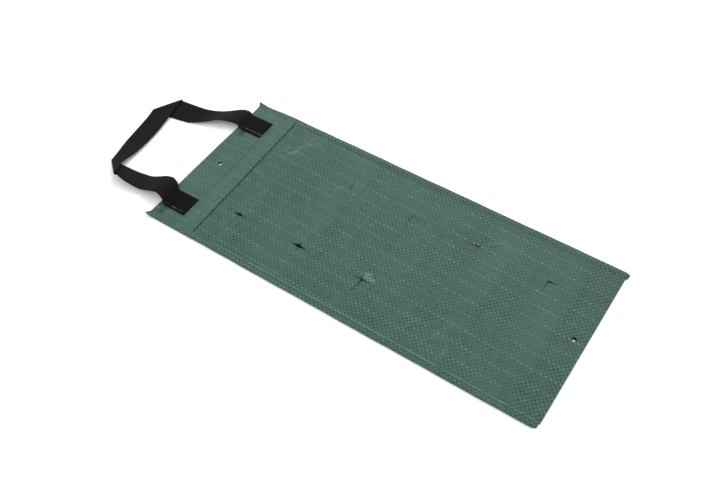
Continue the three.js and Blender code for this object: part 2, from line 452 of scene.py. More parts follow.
def woven_tape(name, contrast=1.0, tint=1.0, edge_highlight=0.0, edge_highlight_at=0.0, pale_and_dark_lines=(), gloss=0.18):
    """Green woven tape.

    contrast sets how clearly the weave shows, tint how bright it is and gloss how much it shines. The
    fourth argument paints a highlight along a line as many millimetres across the cloth as the fifth
    gives, where a seam's folded inner edge faces the light. The list of lines paints pale and dark
    lines: painted highlights and painted shade, and on the hem two scuffs.
    """
    n = Nodes(name)
    x, y = n.uv()
    sway = n.noise(x, y, 60.0) - 0.5
    u = (x + STRIPE_START - y * TAPE_DRIFT + sway * 2.4) / TAPE_ACROSS + 200.0
    v = (y + sway * 1.6) / TAPE_ALONG + 400.0
    warp, weft = u.floor(), v.floor()
    fu, fv = u.fraction(), v.fraction()
    warp_up = (warp + weft).modulo(2.0)
    across = fu * warp_up + fv * (1.0 - warp_up)
    along = fv * warp_up + fu * (1.0 - warp_up)
    edge = across.hill(0.5, 0.5).ramp(0.0, 0.22)
    crown = 1.0 - ((along - 0.5) * 2.0) ** 2.0
    height = edge * (0.35 + 0.65 * crown)
    spot = fu.hill(0.5, 0.5).at_most(fv.hill(0.5, 0.5)).ramp(0.0, 0.5)

    flat = pressed(y)
    clear = n.noise(x, y, 34.0, 3.0, 7.3).ramp(0.36, 0.62)
    weave = (0.62 + 0.38 * clear) * (1.0 - 0.75 * flat) * contrast
    stripe = warp.modulo(float(STRIPE_EVERY)).less_than(0.5)
    dashes = stripe * warp_up * spot
    worn = n.noise(x * 2.0, y, 26.0, 2.0, 6.1).ramp(0.3, 0.62)
    dash_strength = (n.random(weft + warp * 7.0, 5.0) * 0.7 + 0.3) * (0.25 + 0.75 * worn)
    # A few paler cells: painted glints where single tapes catch the light.
    painted_glints = (1.0 - n.random(warp * 3.1 + weft * 17.0, 11.0).ramp(0.0, 0.09)) * warp_up * spot
    cell = n.random(warp * 2.3 + weft * 5.9, 4.0) - 0.5
    tape_shade = n.random(warp, 3.0) * warp_up + n.random(weft, 8.0) * (1.0 - warp_up) - 0.5
    patch = n.noise(x, y, 70.0, 3.0, 2.1) - 0.5
    mottle = n.noise(x, y, 13.0, 2.0, 9.4) - 0.5
    fine = n.noise(x, y, 2.0, 2.0, 5.5) - 0.5

    depth = 0.65 + n.random(warp * 1.7 + weft * 9.1, 2.0) * 0.7
    dots = (1.0 - warp_up) * spot
    shade = PLAIN_SHADE + warp_up * 0.05 * weave - dots * DOT_SHADE * weave * depth
    shade = shade + dashes * dash_strength * DASH_SHADE * contrast + painted_glints * 0.16 * contrast
    shade = shade + stripe * 0.025 + tape_shade * 0.04 + cell * 0.05
    # The fold bands lighten or darken the cloth a little: painted light for their slopes.
    shade = shade + patch * 0.13 + mottle * 0.09 + fine * 0.08 + flat * 0.025
    # Painted highlights and painted shade, as pale and dark lines; on the hem also two scuffs.
    for line in pale_and_dark_lines:
        shade = shade + painted_line(x, y, *line)
    # A painted highlight along a seam's folded inner edge, broken up, starting below the hem.
    if edge_highlight:
        broken = n.noise(x, y / 2.6, 3.0, 3.0, 1.7).ramp(0.36, 0.66)
        started = (TOP_MM - y).ramp(78.0, 92.0)
        shade = shade + x.hill(edge_highlight_at, 1.5) * (0.25 + 0.75 * broken) * started * edge_highlight
    green = n.mix(shade.clamped(), scaled(DEEP_GREEN, tint), scaled(PALE_GREEN, tint))
    relief = n.bump(height * weave + fine * 0.3, 0.16 * MM, 0.7)
    roughness = 0.5 + 0.12 * patch + 0.1 * (1.0 - height)
    return n.finish({
        "Base Color": green, "Roughness": roughness, "Specular IOR Level": gloss, "Normal": relief})


WOVEN = woven_tape("woven_tape", pale_and_dark_lines=CREASE_HIGHLIGHT_AND_SHADE_LINES)
# The inner faces are the same cloth painted very dark: painted shade for the inside of the bag, seen
# through the cuts and holes.
WOVEN_INSIDE_SHADED = woven_tape("woven_tape_inside_painted_shade", contrast=0.5, tint=0.1, gloss=0.03)
# The hem's raw edge painted dark: painted shade for the gap under the hem's edge.
WOVEN_EDGE_SHADED = woven_tape("woven_tape_edge_painted_shade", contrast=0.5, tint=0.45, gloss=0.03)

# %% [markdown]
# The front's surface
#
# Every front piece lies on one surface: a height worked out from the place on the bag. It
# holds the slight pillow between the seams, the flat steps left by the folds it was packed
# with, a few creases and small puckers along the stitching. The flaps of the cuts use the
# same height, so they meet the panel exactly. Creases fade out at the cuts, so that every
# flap still turns about a straight line.

# %% Front surface
FRONT_LEVEL = 1.4 * MM
PILLOW = 0.35 * MM
WAVE = 0.10 * MM
PUCKER = 0.13 * MM
CUT_ARM = 15 * MM
CREASE_START = 4 * MM


def cut_centres():
    """Each cut's centre, from the middle of its four flaps' boxes."""
    centres = {}
    for side in ("left", "right"):
        for row in range(1, 6):
            boxes = [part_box(f"slit_{side}_{row}_{corner}") for corner in ("ne", "sw")]
            centres[side, row] = np.mean([np.array(b)[:, :2] for b in boxes], axis=(0, 1))
    return centres


CUTS = cut_centres()
CUT_X = np.unique([round(float(c[0]), 6) for c in CUTS.values()])
CUT_Y = np.unique([round(float(c[1]), 6) for c in CUTS.values()])
print("cuts:", len(CUTS), "in columns at", CUT_X, "m")


def cut_reach(x, y):
    """How far a place is from its nearest cut's centre, across plus along: a diamond's measure."""
    across = np.abs(np.asarray(x)[..., None] - CUT_X).min(-1)
    return across + np.abs(np.asarray(y)[..., None] - CUT_Y).min(-1)


def crease(x, y, x0, y0, x1, y1, width, height):
    """A ridge along a line between two places: a bell curve across it that fades at its ends."""
    start, end = np.array([x0, y0]) * MM, np.array([x1, y1]) * MM
    line = end - start
    length = np.hypot(*line)
    along = ((x - start[0]) * line[0] + (y - start[1]) * line[1]) / length
    off = ((x - start[0]) * -line[1] + (y - start[1]) * line[0]) / length
    share = along / length
    fade = smoothstep(share / 0.25) * smoothstep((1 - share) / 0.25)
    return height * MM * fade * np.exp(-((off / (width * MM)) ** 2))


def fold_steps(drop):
    """Slopes that change at each packing fold: straight ramps between a few heights."""
    places = np.array([0, 60, 131, 172, 232, 333, 351, 387, 421, 455]) * MM
    heights = np.array([0, 0.0, 0.28, -0.22, 0.1, -0.05, 0.32, -0.08, 0.3, -0.25]) * MM
    return np.interp(drop, places, heights)


# Each crease: its start and end as x and minus the drop, its width and its height, in millimetres.
CREASES = [
    (52, -70, 72, -84, 2.6, 0.6),
    (66, -79, 95, -103, 3.0, 0.8),
    (60, -58, 90, -88, 4.0, 0.3),
    (-84, -322, -52, -336, 2.2, 0.55),
    (-80, -300, -48, -312, 2.5, 0.35),
    (52, -318, 74, -345, 2.0, 0.5),
    (-20, -300, 10, -322, 2.5, 0.3),
    (-42, -160, -12, -159, 1.0, 0.25),
    (34, -168, 54, -152, 1.4, 0.6),
]


def front_height(x, y):
    """The front sheet's height at a place, in metres."""
    drop = TOP_Y - y
    side = np.abs(x) / SEAM_X
    pillow = PILLOW * (1 - side ** 4)
    waves = WAVE * np.sin(x / 0.021 + 1.7 * np.sin(y / 0.09)) * np.sin(y / 0.033 + 0.6)
    pucker = PUCKER * np.sin(y / 0.0021) * smoothstep((side - 0.86) / 0.14)
    z = FRONT_LEVEL + pillow + fold_steps(drop) * (1 - side ** 6) + waves + pucker
    down = -drop
    clear = smoothstep((cut_reach(x, y) - CUT_ARM) / CREASE_START)
    for line in CREASES:
        z = z + clear * crease(x, down, *line)
    return z


# %% [markdown]
# The cross cuts and the round holes
#
# Ten small crosses are cut through the front in two columns, and a round hole goes through
# everything near each end. The grid's lines are spaced so that each cross falls on them and
# the flaps' hinge lines run along the diagonals of its cells. Round a hole, the square
# rings of the grid are pushed into circles. The sheet then needs no boolean cut.

# %% Grid lines
CUT_CELL = CUT_ARM / 10
RING_CELL = 1.0 * MM
RING_COUNT = 5
HOLE_RING = 2

TOP_HOLE = (-2.4 * MM, TOP_Y - 19.2 * MM)
LOW_HOLE = (1.8 * MM, TOP_Y - 443.6 * MM)

# The back has slipped a little under the front since the holes were punched.
TOP_SLIP = (0, -1 * MM)
LOW_SLIP = (-2 * MM, 0)


def grid_lines(low, high, places, coarse):
    """Lines from low to high: a fine, even block at each place, and about coarse apart between.

    places holds (centre, half width of its block, spacing in it).
    """
    lines = [np.array([low])]
    here = low
    for centre, half, step in sorted(places):
        gap = centre - half - here
        lines.append(np.linspace(here, centre - half, max(1, round(gap / coarse)) + 1)[1:])
        lines.append(centre - half + step * np.arange(1, round(2 * half / step) + 1))
        here = centre + half
    lines.append(np.linspace(here, high, max(1, round((high - here) / coarse)) + 1)[1:])
    return np.concatenate(lines)


def cut_blocks(centres):
    """Fine blocks for grid_lines, one at each cut."""
    return [(float(c), CUT_ARM, CUT_CELL) for c in centres]


def hole_block(centre):
    """The fine block for grid_lines that holds a hole's rings."""
    return [(centre, RING_COUNT * RING_CELL, RING_CELL)]


def sheet_layer(x_lines, y_lines, hole, height):
    """One layer of cloth with a round hole through it: its points, and the cells to leave out."""
    x, y, left_out = round_hole(*np.meshgrid(x_lines, y_lines), hole)
    return np.stack([x, y, height(x, y)], -1), left_out


def round_hole(x, y, centre):
    """Pushes the square rings of points round centre into circles, and finds the cells to leave out.

    A point on the second ring goes to the hole's own circle, and rings further out move less,
    until the last stays square.
    """
    i, j = (x - centre[0]) / RING_CELL, (y - centre[1]) / RING_CELL
    ring = np.maximum(np.abs(i), np.abs(j))
    near = ring < RING_COUNT + 0.01
    share = np.clip((ring - HOLE_RING) / (RING_COUNT - HOLE_RING), 0, 1)
    distance = np.maximum(np.hypot(i, j), 1e-9)
    circle = HOLE_RADIUS / RING_CELL
    x = np.where(near, centre[0] + RING_CELL * (i * share + circle * i / distance * (1 - share)), x)
    y = np.where(near, centre[1] + RING_CELL * (j * share + circle * j / distance * (1 - share)), y)
    cell_ring = np.maximum(np.abs(i[:-1, :-1] + i[1:, 1:]), np.abs(j[:-1, :-1] + j[1:, 1:])) / 2
    return x, y, cell_ring < HOLE_RING


print("holes at", [round(v, 4) for v in TOP_HOLE], "and", [round(v, 4) for v in LOW_HOLE])

# %% [markdown]
# The folded sheet
#
# The real bag is one sheet folded at the bottom. So is this piece: a path runs from the hem
# line down the front, round a small bend and up the back, and the grid is carried along it.
# Cells inside a diamond are left out for the flaps, and the cells on its sides are halved.

# %% Folded sheet
CLOTH = 0.35 * MM
BACK_LEVEL = 0.5 * MM
FOLD_RADIUS = 0.8 * MM
TUCK = 3 * MM
BEND_STEPS = 7
UNDER_SEAM = 1 * MM

# How far the soft bend reaches past the frame's own fold.
FOLD_BULGE = 0.7 * MM
FOLD_Y = BOTTOM_Y + FOLD_RADIUS - FOLD_BULGE

SHEET_SIDE = SEAM_X + UNDER_SEAM
SHEET_X = grid_lines(-SHEET_SIDE, SHEET_SIDE, cut_blocks(CUT_X) + hole_block(LOW_HOLE[0]), 2.4 * MM)


def back_height(x, y):
    """The back sheet's height: nearly level, with low, wide waves."""
    return BACK_LEVEL + 0.06 * MM * np.sin(x / 0.03) * np.sin(y / 0.05)


def folded_sheet():
    """The grid's points, cloth coordinates and left-out cells: front, bend and back in turn."""
    blocks_y = cut_blocks(CUT_Y) + hole_block(LOW_HOLE[1])
    front_y = grid_lines(FOLD_Y + 1 * MM, HEM_Y + TUCK, blocks_y, 2.6 * MM)[::-1]
    back_y = grid_lines(FOLD_Y + 1 * MM, HEM_Y + TUCK, hole_block(LOW_HOLE[1]), 5 * MM)
    turn = np.linspace(0, np.pi, BEND_STEPS)

    front, front_hole = sheet_layer(SHEET_X, front_y, LOW_HOLE, front_height)
    back, back_hole = sheet_layer(SHEET_X, back_y, np.add(LOW_HOLE, LOW_SLIP), back_height)
    fold_y = np.full_like(SHEET_X, FOLD_Y)
    bend = bend_grid(
        SHEET_X, turn, FOLD_Y, -FOLD_RADIUS, front_height(SHEET_X, fold_y), back_height(SHEET_X, fold_y))

    grid = np.concatenate([front, bend, back])
    holes = np.zeros((len(grid) - 1, len(SHEET_X) - 1), bool)
    holes[: len(front) - 1] = front_hole
    holes[-(len(back) - 1):] = back_hole
    along = np.concatenate([
        front[..., 1],
        np.broadcast_to((FOLD_Y - FOLD_RADIUS * turn)[:, None], bend.shape[:2]),
        2 * FOLD_Y - FOLD_RADIUS * np.pi - back[..., 1]])
    return grid, np.stack([grid[..., 0], along], -1), holes, len(front)


def sheet_triangles(grid, holes, front_rows):
    """Two triangles for each kept cell, halved along the diagonal that runs with the diamond's side."""
    rows, columns = grid.shape[:2]
    r, c = np.meshgrid(np.arange(rows - 1), np.arange(columns - 1), indexing="ij")
    a, b = r * columns + c, r * columns + c + 1
    d, e = a + columns, b + columns
    middle = (grid[:-1, :-1] + grid[1:, 1:]) / 2
    cut_x = CUT_X[np.abs(middle[..., 0, None] - CUT_X).argmin(-1)]
    cut_y = CUT_Y[np.abs(middle[..., 1, None] - CUT_Y).argmin(-1)]
    falling = ((middle[..., 0] - cut_x) * (middle[..., 1] - cut_y) > 0)[..., None]
    halves = (
        np.where(falling, np.stack([a, d, e], -1), np.stack([a, d, b], -1)),
        np.where(falling, np.stack([a, e, b], -1), np.stack([b, d, e], -1)))
    points = grid.reshape(-1, 3)
    kept = []
    for triangle in halves:
        centre = points[triangle].mean(axis=-2)
        reach = np.abs(centre[..., 0] - cut_x) + np.abs(centre[..., 1] - cut_y)
        in_cut = (reach < CUT_ARM) & (r < front_rows - 1)
        kept.append(triangle[~in_cut & ~holes])
    return np.concatenate(kept)


sheet_grid, sheet_uv, sheet_holes, front_rows = folded_sheet()
sheet_faces = sheet_triangles(sheet_grid, sheet_holes, front_rows)
folded = add_object(
    "folded_sheet", sheet_grid.reshape(-1, 3), sheet_faces, sheet_uv.reshape(-1, 2),
    materials=[WOVEN, WOVEN_INSIDE_SHADED])
thicken(folded, CLOTH, -1, inside=1)
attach(folded, "bag")
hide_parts("front_panel", "bottom_fold", "back_panel")
print("folded sheet:", len(sheet_faces), "triangles")

# %% [markdown]
# The flaps of the cuts
#
# Each cut leaves four soft corners. In a real bag no two lie alike: some have sprung up a
# little and show a dark gap, others have closed again. Each flap is a triangle of the same
# grid, so its long side meets the panel, and its tip is moved a little, less and less
# towards that side.

# %% Flaps
FLAP_STEPS = 10
KERF = 0.05 * MM
END_GAP = 0.7 * MM
CORNERS = {"ne": (1, 1), "nw": (-1, 1), "sw": (-1, -1), "se": (1, -1)}

# Where the tips of each cut's flaps have moved to, in the order of CORNERS and in millimetres:
# outwards across the bag, outwards along it, and up. A cut that isn't named has closed again.
CLOSED = [(0.0, 0.0, 0.0)] * len(CORNERS)
TIP_MOVES = {
    ("left", 1): [(1.7, 0.2, 0.3), (1.6, 0.4, 0.5), (1.6, 0.4, 0.2), (1.7, 0.3, 0.3)],
    ("left", 2): [(2.2, 0.4, 0.5), (2.1, 0.2, 0.6), (2.1, 0.3, 0.3), (2.1, 0.5, 0.4)],
    ("left", 3): [(0.7, 0.4, 0.1), (0.6, 0.4, 0.2), (0.0, 0.9, -0.2), (0.0, 0.5, 1.6)],
    ("left", 4): [(0.1, 0.0, 0.1), (0.2, 0.0, 0.2), (0.1, 0.0, 0.1), (0.1, 0.0, 0.0)],
    ("right", 2): [(0.1, 0.1, 0.1), (0.1, 0.1, 0.1), (0.4, 0.4, 0.4), (0.1, 0.1, 0.0)],
    ("right", 3): [(0.0, 0.1, 0.1), (0.1, 0.3, 0.2), (0.2, 0.4, -0.1), (0.2, 0.0, 0.0)],
    ("right", 4): [(1.0, 0.2, 0.2), (1.0, 0.1, 0.9), (0.0, 0.1, 0.0), (0.1, 0.3, -0.2)],
    ("right", 5): [(0.0, 0.0, 0.2), (0.1, 0.2, 0.3), (1.2, 0.7, -0.3), (0.5, 0.0, 0.4)],
}

# How soon a flap's movement dies away from its tip: a higher number leaves only a short star.
USUAL_FADE = 2.5
FADES = {("left", 1): 3.2, ("left", 3): 1.5, ("right", 3): 1.5, ("right", 4): 1.7, ("right", 5): 1.4}


def flap_mesh(centre, sign, move, fade):
    """A right triangle of grid points with its right angle at the cut's centre.

    Its other two corners are set in along the hinge, where the blade has run a little past, so
    that neighbouring flaps clear each other as they open.
    """
    i, j = np.meshgrid(np.arange(FLAP_STEPS + 1), np.arange(FLAP_STEPS + 1), indexing="ij")
    inside = i + j <= FLAP_STEPS
    number = np.full(i.shape, -1)
    number[inside] = np.arange(inside.sum())
    i, j = i[inside], j[inside]
    set_in = END_GAP * (np.where(j == FLAP_STEPS, 1, 0) - np.where(i == FLAP_STEPS, 1, 0))
    x = centre[0] + sign[0] * (i * CUT_CELL + set_in)
    y = centre[1] + sign[1] * (j * CUT_CELL - set_in)
    z = front_height(x, y)
    uv = np.stack([x, y], -1)
    freedom = (1 - (i + j) / FLAP_STEPS) ** fade
    x = x + sign[0] * (freedom * move[0] * MM + (i == 0) * (1 - j / FLAP_STEPS) * KERF)
    y = y + sign[1] * (freedom * move[1] * MM + (j == 0) * (1 - i / FLAP_STEPS) * KERF)
    z = z + freedom * move[2] * MM
    lower = i + j < FLAP_STEPS
    upper = i + j < FLAP_STEPS - 1
    a, b, c = number[i[lower], j[lower]], number[i[lower] + 1, j[lower]], number[i[lower], j[lower] + 1]
    d = number[i[upper] + 1, j[upper]]
    e, f = number[i[upper] + 1, j[upper] + 1], number[i[upper], j[upper] + 1]
    faces = np.concatenate([np.stack([a, b, c], -1), np.stack([d, e, f], -1)])
    if sign[0] * sign[1] < 0:
        faces = faces[:, ::-1]
    return np.stack([x, y, z], -1), faces, uv


for (side, row), centre in CUTS.items():
    moves = TIP_MOVES.get((side, row), CLOSED)
    for (corner, sign), move in zip(CORNERS.items(), moves):
        node = f"slit_{side}_{row}_{corner}"
        points, faces, uv = flap_mesh(centre, sign, move, FADES.get((side, row), USUAL_FADE))
        flap = add_object(
            f"flap_{side}_{row}_{corner}", points, faces, uv, materials=[WOVEN, WOVEN_INSIDE_SHADED])
        thicken(flap, CLOTH, -1, inside=1)
        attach(flap, node)
        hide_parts(node)

# %% [markdown]
# The mouth hems
#
# At the mouth, front and back are each turned outwards and lie double for 54 mm. The front hem has to
# open with the mouth but stay sewn at the sides, so a share is worked out for each of its points in both
# directions: full in the middle, none at the seams. It is not put on the mesh.

# %% Mouth hems
HEM_LIFT = 0.45 * MM
EDGE_RADIUS = 0.36 * MM
RAW_EDGE = 0.6 * MM
RAGGED = 0.2 * MM
HEM_TILT = 0.022
HOLLOW = 0.5 * MM
EDGE_X = HALF_WIDTH - 0.3 * MM

# The curled corners' size across and along the bag, and how far their tips have moved.
CORNER_ACROSS = 8 * MM
CORNER_ALONG = 15 * MM
CORNER_MOVE = np.array([-0.9, 2.6, 2.2]) * MM

# The drop of the row of stitches under the handle's ends.
HEM_ROW = 34.5 * MM


def corner_share(x, y):
    """1 at the two outer top corners, falling to 0 over a corner's size along both edges."""
    across = smoothstep((np.abs(x) - EDGE_X + CORNER_ACROSS) / CORNER_ACROSS)
    return across * smoothstep((y - TOP_Y + CORNER_ALONG) / CORNER_ALONG)


def waist(x, y):
    """How far a point is drawn in across the bag: the right edge is pulled in below its corner."""
    return 1.6 * MM * bump_at(TOP_Y - y, 13 * MM, 16 * MM) * smoothstep((x - 70 * MM) / (30 * MM))


def shape_hem(grid):
    """The hem's outline: corners that curl up and out, and a top edge that dips at the handle's ends."""
    x, y = grid[..., 0].copy(), grid[..., 1].copy()
    near_top = smoothstep((y - TOP_Y + 25 * MM) / (25 * MM))
    dip = bump_at(x, -68 * MM, 24 * MM) + bump_at(x, 65 * MM, 24 * MM)
    grid = grid + corner_share(x, y)[..., None] ** 2 * CORNER_MOVE
    grid[..., 0] -= waist(x, y)
    grid[..., 1] -= near_top * dip * 0.8 * MM
    return grid


def hem_mesh(inner_height, outer_height, half, tilt, hole):
    """Inner layer up to the top edge, a small bend, and the outer layer down to its raw edge.

    half is half of the hem's width, tilt how much its raw edge slants, and hole its hole's centre.
    """
    x_lines = grid_lines(-half, half, hole_block(hole[0]), 2.4 * MM)
    block = hole_block(hole[1])
    inner_y = grid_lines(HEM_Y + TUCK + 1 * MM, TOP_Y - EDGE_RADIUS, block, 2.2 * MM)
    outer_y = grid_lines(HEM_Y - RAW_EDGE, TOP_Y - EDGE_RADIUS, block, 2.2 * MM)[::-1]
    turn = np.linspace(0, np.pi, BEND_STEPS)[1:-1]

    inner, inner_hole = sheet_layer(x_lines, inner_y, hole, inner_height)
    x, y, outer_hole = round_hole(*np.meshgrid(x_lines, outer_y), hole)
    y[-1] += RAGGED * np.sin(x[-1] / 0.0017) * np.sin(x[-1] / 0.011)
    y = y + x * tilt * smoothstep((HEM_Y + 12 * MM - y) / (12 * MM))
    outer = np.stack([x, y, outer_height(x, y)], -1)

    bend = bend_grid(x_lines, turn, TOP_Y - EDGE_RADIUS, EDGE_RADIUS, inner[-1, :, 2], outer[0, :, 2])
    grid = shape_hem(np.concatenate([inner, bend, outer]))
    kept = np.ones((len(grid) - 1, len(x_lines) - 1), bool)
    kept[: len(inner) - 1] = ~inner_hole
    kept[-(len(outer) - 1):] = ~outer_hole
    step = np.hypot(*np.diff(grid[..., 1:], axis=0).transpose(2, 0, 1))
    along = np.vstack([np.zeros(len(x_lines)), np.cumsum(step, axis=0)])
    faces = grid_faces(len(grid), len(x_lines))[kept.ravel()]
    return grid.reshape(-1, 3), faces, np.stack([grid[..., 0], along], -1).reshape(-1, 2)


def on_hem(x0, drop0, x1, drop1, width, strength):
    """A line given as drops on the hem's outer layer, in the hem's own coordinates.

    The hem's cloth coordinate starts at the foot of its inner layer and runs over the top edge.
    """
    foot = (HEM_Y + TUCK) / MM
    return x0, foot - drop0, x1, foot - drop1, width, strength


def hem_floor(x, y):
    """The inner layer of the front hem: the front's surface, with a hollow beside each sewn end."""
    hollows = bump_at(x, -85 * MM, 4.5 * MM) + bump_at(x, 48 * MM, 5 * MM)
    return front_height(x, y) - HOLLOW * hollows * bump_at(TOP_Y - y, 9 * MM, 5 * MM)


def hem_band(x, y):
    """The outer layer of the front hem: a little proud, and pulled down along its row of stitches."""
    drop = TOP_Y - y
    stitched = bump_at(drop, HEM_ROW, 2.2 * MM) * (0.05 + 0.03 * np.sin(x / 0.0007))
    loose = MM * (0.15 * np.sin(x / 0.013) + 0.38) * smoothstep((drop - 42 * MM) / (12 * MM))
    return hem_floor(x, y) + HEM_LIFT - stitched * MM + loose


def flat_height(x, y):
    """The outer layer of the back hem: level on the ground, with its wall under it."""
    return np.full_like(x, CLOTH)


# Painted shade in the hollows that the sewn ends of the handle pull into the hem, and two pale scuffs.
HEM_SHADE_AND_SCUFF_LINES = [
    (-94, 8, -74, 8, 5.0, -0.19),
    (38, 9, 60, 6, 5.5, -0.19),
    (84, 12, 90, 30, 5.0, 0.07),
    (-97, 36, -88, 44, 5.0, 0.06),
]
WOVEN_HEM = woven_tape("woven_tape_hem", 0.55, 1.13, pale_and_dark_lines=[on_hem(*line) for line in HEM_SHADE_AND_SCUFF_LINES])

points, faces, uv = hem_mesh(hem_floor, hem_band, EDGE_X, HEM_TILT, TOP_HOLE)
# The rim of the front hem, its raw edge, takes the dark edge material: painted shade.
front_hem = add_object("mouth_hem_front", points, faces, uv, materials=[WOVEN_HEM, WOVEN_EDGE_SHADED])
thicken(front_hem, CLOTH, 1, rim=1)
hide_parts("front_hem")
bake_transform(front_hem)
hold = smoothstep((points[:, 1] - HEM_Y) / (15 * MM))
hold = hold * smoothstep((SEAM_X - np.abs(points[:, 0])) / (11 * MM))

points, faces, uv = hem_mesh(back_height, flat_height, SEAM_X, 0.0, np.add(TOP_HOLE, TOP_SLIP))
back_hem = add_object("mouth_hem_back", points, faces[:, ::-1], uv, materials=[WOVEN_HEM])
thicken(back_hem, CLOTH, -1)
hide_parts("back_hem")
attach(back_hem, "bag")
print("hems:", len(front_hem.data.polygons) + len(back_hem.data.polygons), "faces")

# %% [markdown]
# The side seams
#
# Along each side both layers are turned over together and sewn, which leaves a firm flange.
# It is a flattened loop carried along the bag. The loop swells and pulls in between
# stitches, curls up at the mouth corners and runs out ragged at the bottom.

# %% Side seams
SEAM_WIDTH = HALF_WIDTH - SEAM_X
STITCH_PITCH = 4.6 * MM
SEAM_ROUND = 24
SEAM_HALF = 1.08 * MM
WORN_END = 4 * MM

# How far the seam's end moves with the hem's corner.
SEAM_CORNER = np.array([-0.9, 2.6, 2.0]) * MM

# The point of the profile where a painted highlight runs: on top, near the inner edge, where the folded
# edge faces the light.
EDGE_HIGHLIGHT_POINT = 16


def seam_profile():
    """A squarish oval from its underside round, one unit each way, and the distance round it in metres.

    Each coordinate is a cosine or sine with its size raised to a small power, which fills out
    the corners.
    """
    turn = np.linspace(-np.pi / 2, 3 * np.pi / 2, SEAM_ROUND, endpoint=False)
    across, up = np.cos(turn), np.sin(turn)
    across = np.sign(across) * np.abs(across) ** 0.42
    up = np.sign(up) * np.abs(up) ** 0.5
    steps = np.hypot(np.diff(across) * SEAM_WIDTH / 2, np.diff(up) * SEAM_HALF)
    return across, up, np.concatenate([[0], np.cumsum(steps)])


def seam_mesh(sign, low_y, tail):
    """The profile carried from low_y to the mouth, in steps of a third of a stitch.

    tail is how far its ragged end reaches; without one, the outer corner is rounded.
    """
    y = np.arange(low_y, TOP_Y - 1.5 * MM, STITCH_PITCH / 3)
    round_x, round_z, around = seam_profile()
    in_hem = smoothstep((y - HEM_Y - 1 * MM) / (8 * MM))
    sewn = 1 - 0.04 * np.cos(2 * np.pi * y / STITCH_PITCH)
    wander = 0.25 * MM * np.sin(y / 0.019) + 0.15 * MM * np.sin(y / 0.0061)
    worn = smoothstep((low_y + WORN_END - y) / WORN_END)
    half = SEAM_WIDTH / 2 - 0.1 * MM - worn * 0.9 * MM + 0.2 * wander
    middle = SEAM_X + SEAM_WIDTH / 2 - 0.25 * MM + 0.3 * wander - worn * 0.8 * MM * (tail == 0)
    thick = SEAM_HALF * sewn * (1 - 0.64 * in_hem) * (1 - 0.3 * worn)
    x = middle[:, None] + half[:, None] * round_x
    inner_drop = 0.12 * MM * (1 - round_x)
    z = 0.05 * MM + thick[:, None] * (1 + round_z) - inner_drop * (round_z > 0)
    frayed = worn[:, None] * tail * (0.5 + 0.5 * np.sin(round_x * 9.0 + round_z * 4.0))
    level_y = np.broadcast_to(y[:, None], x.shape)
    x = sign * x
    grid = np.stack([x - waist(x, level_y), level_y + frayed, z], -1)
    grid = grid + SEAM_CORNER * corner_share(x, level_y)[..., None] ** 2
    uv = np.stack([np.broadcast_to(around, x.shape), grid[..., 1]], -1)
    faces = tube_faces(len(y), SEAM_ROUND, flip=sign > 0)
    return grid.reshape(-1, 3), faces, uv.reshape(-1, 2)


EDGE_HIGHLIGHT_AT = seam_profile()[2][EDGE_HIGHLIGHT_POINT] / MM
# The left seam's inner edge faces the light and gets a strong painted highlight, the right one only a
# faint one.
WOVEN_LEFT = woven_tape("woven_tape_left_seam", 1.1, 1.0, 0.75, EDGE_HIGHLIGHT_AT)
WOVEN_RIGHT = woven_tape("woven_tape_right_seam", 1.1, 1.0, 0.1, EDGE_HIGHLIGHT_AT)
SEAM_ENDS = {
    "left": (-1, BOTTOM_Y + 0.5 * MM, 0.0, WOVEN_LEFT),
    "right": (1, BOTTOM_Y - 2.9 * MM, 2.0 * MM, WOVEN_RIGHT),
}
for side, (sign, low_y, tail, material) in SEAM_ENDS.items():
    points, faces, uv = seam_mesh(sign, low_y, tail)
    seam = add_object(f"seam_{side}", points, faces, uv, materials=[material])
    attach(seam, "bag")
    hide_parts(f"side_seam_{side}")
print("seam points:", len(points))

# %% [markdown]
# Sewing thread
#
# A row of stitches is one short rounded piece of thread repeated along a line. All of a
# row's stitches are worked out in one array and share one mesh.

# %% Stitches
def thread_material(name, colour, gloss):
    """Twisted thread: a slanting ripple along it, and a little change of shade."""
    n = Nodes(name)
    x, y = n.uv()
    ply = ((x * 2.2 + y * 3.1) * FULL_TURN).sine() * 0.5 + 0.5
    dark = linear(*[c * 0.72 for c in colour])
    shade = n.mix(ply * 0.6 + n.noise(x, y, 3.0) * 0.4, dark, linear(*colour))
    return n.finish({
        "Base Color": shade, "Roughness": 0.62, "Specular IOR Level": gloss,
        "Normal": n.bump(ply, 0.08 * MM, 0.6)})


SEAM_THREAD = thread_material("green_thread", (52, 80, 71), 0.2)
HEM_THREAD = thread_material("faded_green_thread", (74, 106, 96), 0.2)
BLACK_THREAD = thread_material("black_thread", (13, 12, 14), 0.08)

STITCH_ROUND = 8
STITCH_STATIONS = 7

# The seams' rows: how far outside the seam's inner line they run, and how high.
ROW_INSET = 2.3 * MM
ROW_LEVEL = 2.1 * MM

# The pitch and the length of the stitches in the hem.
HEM_PITCH = 4.0 * MM
HEM_STITCH = 3.1 * MM


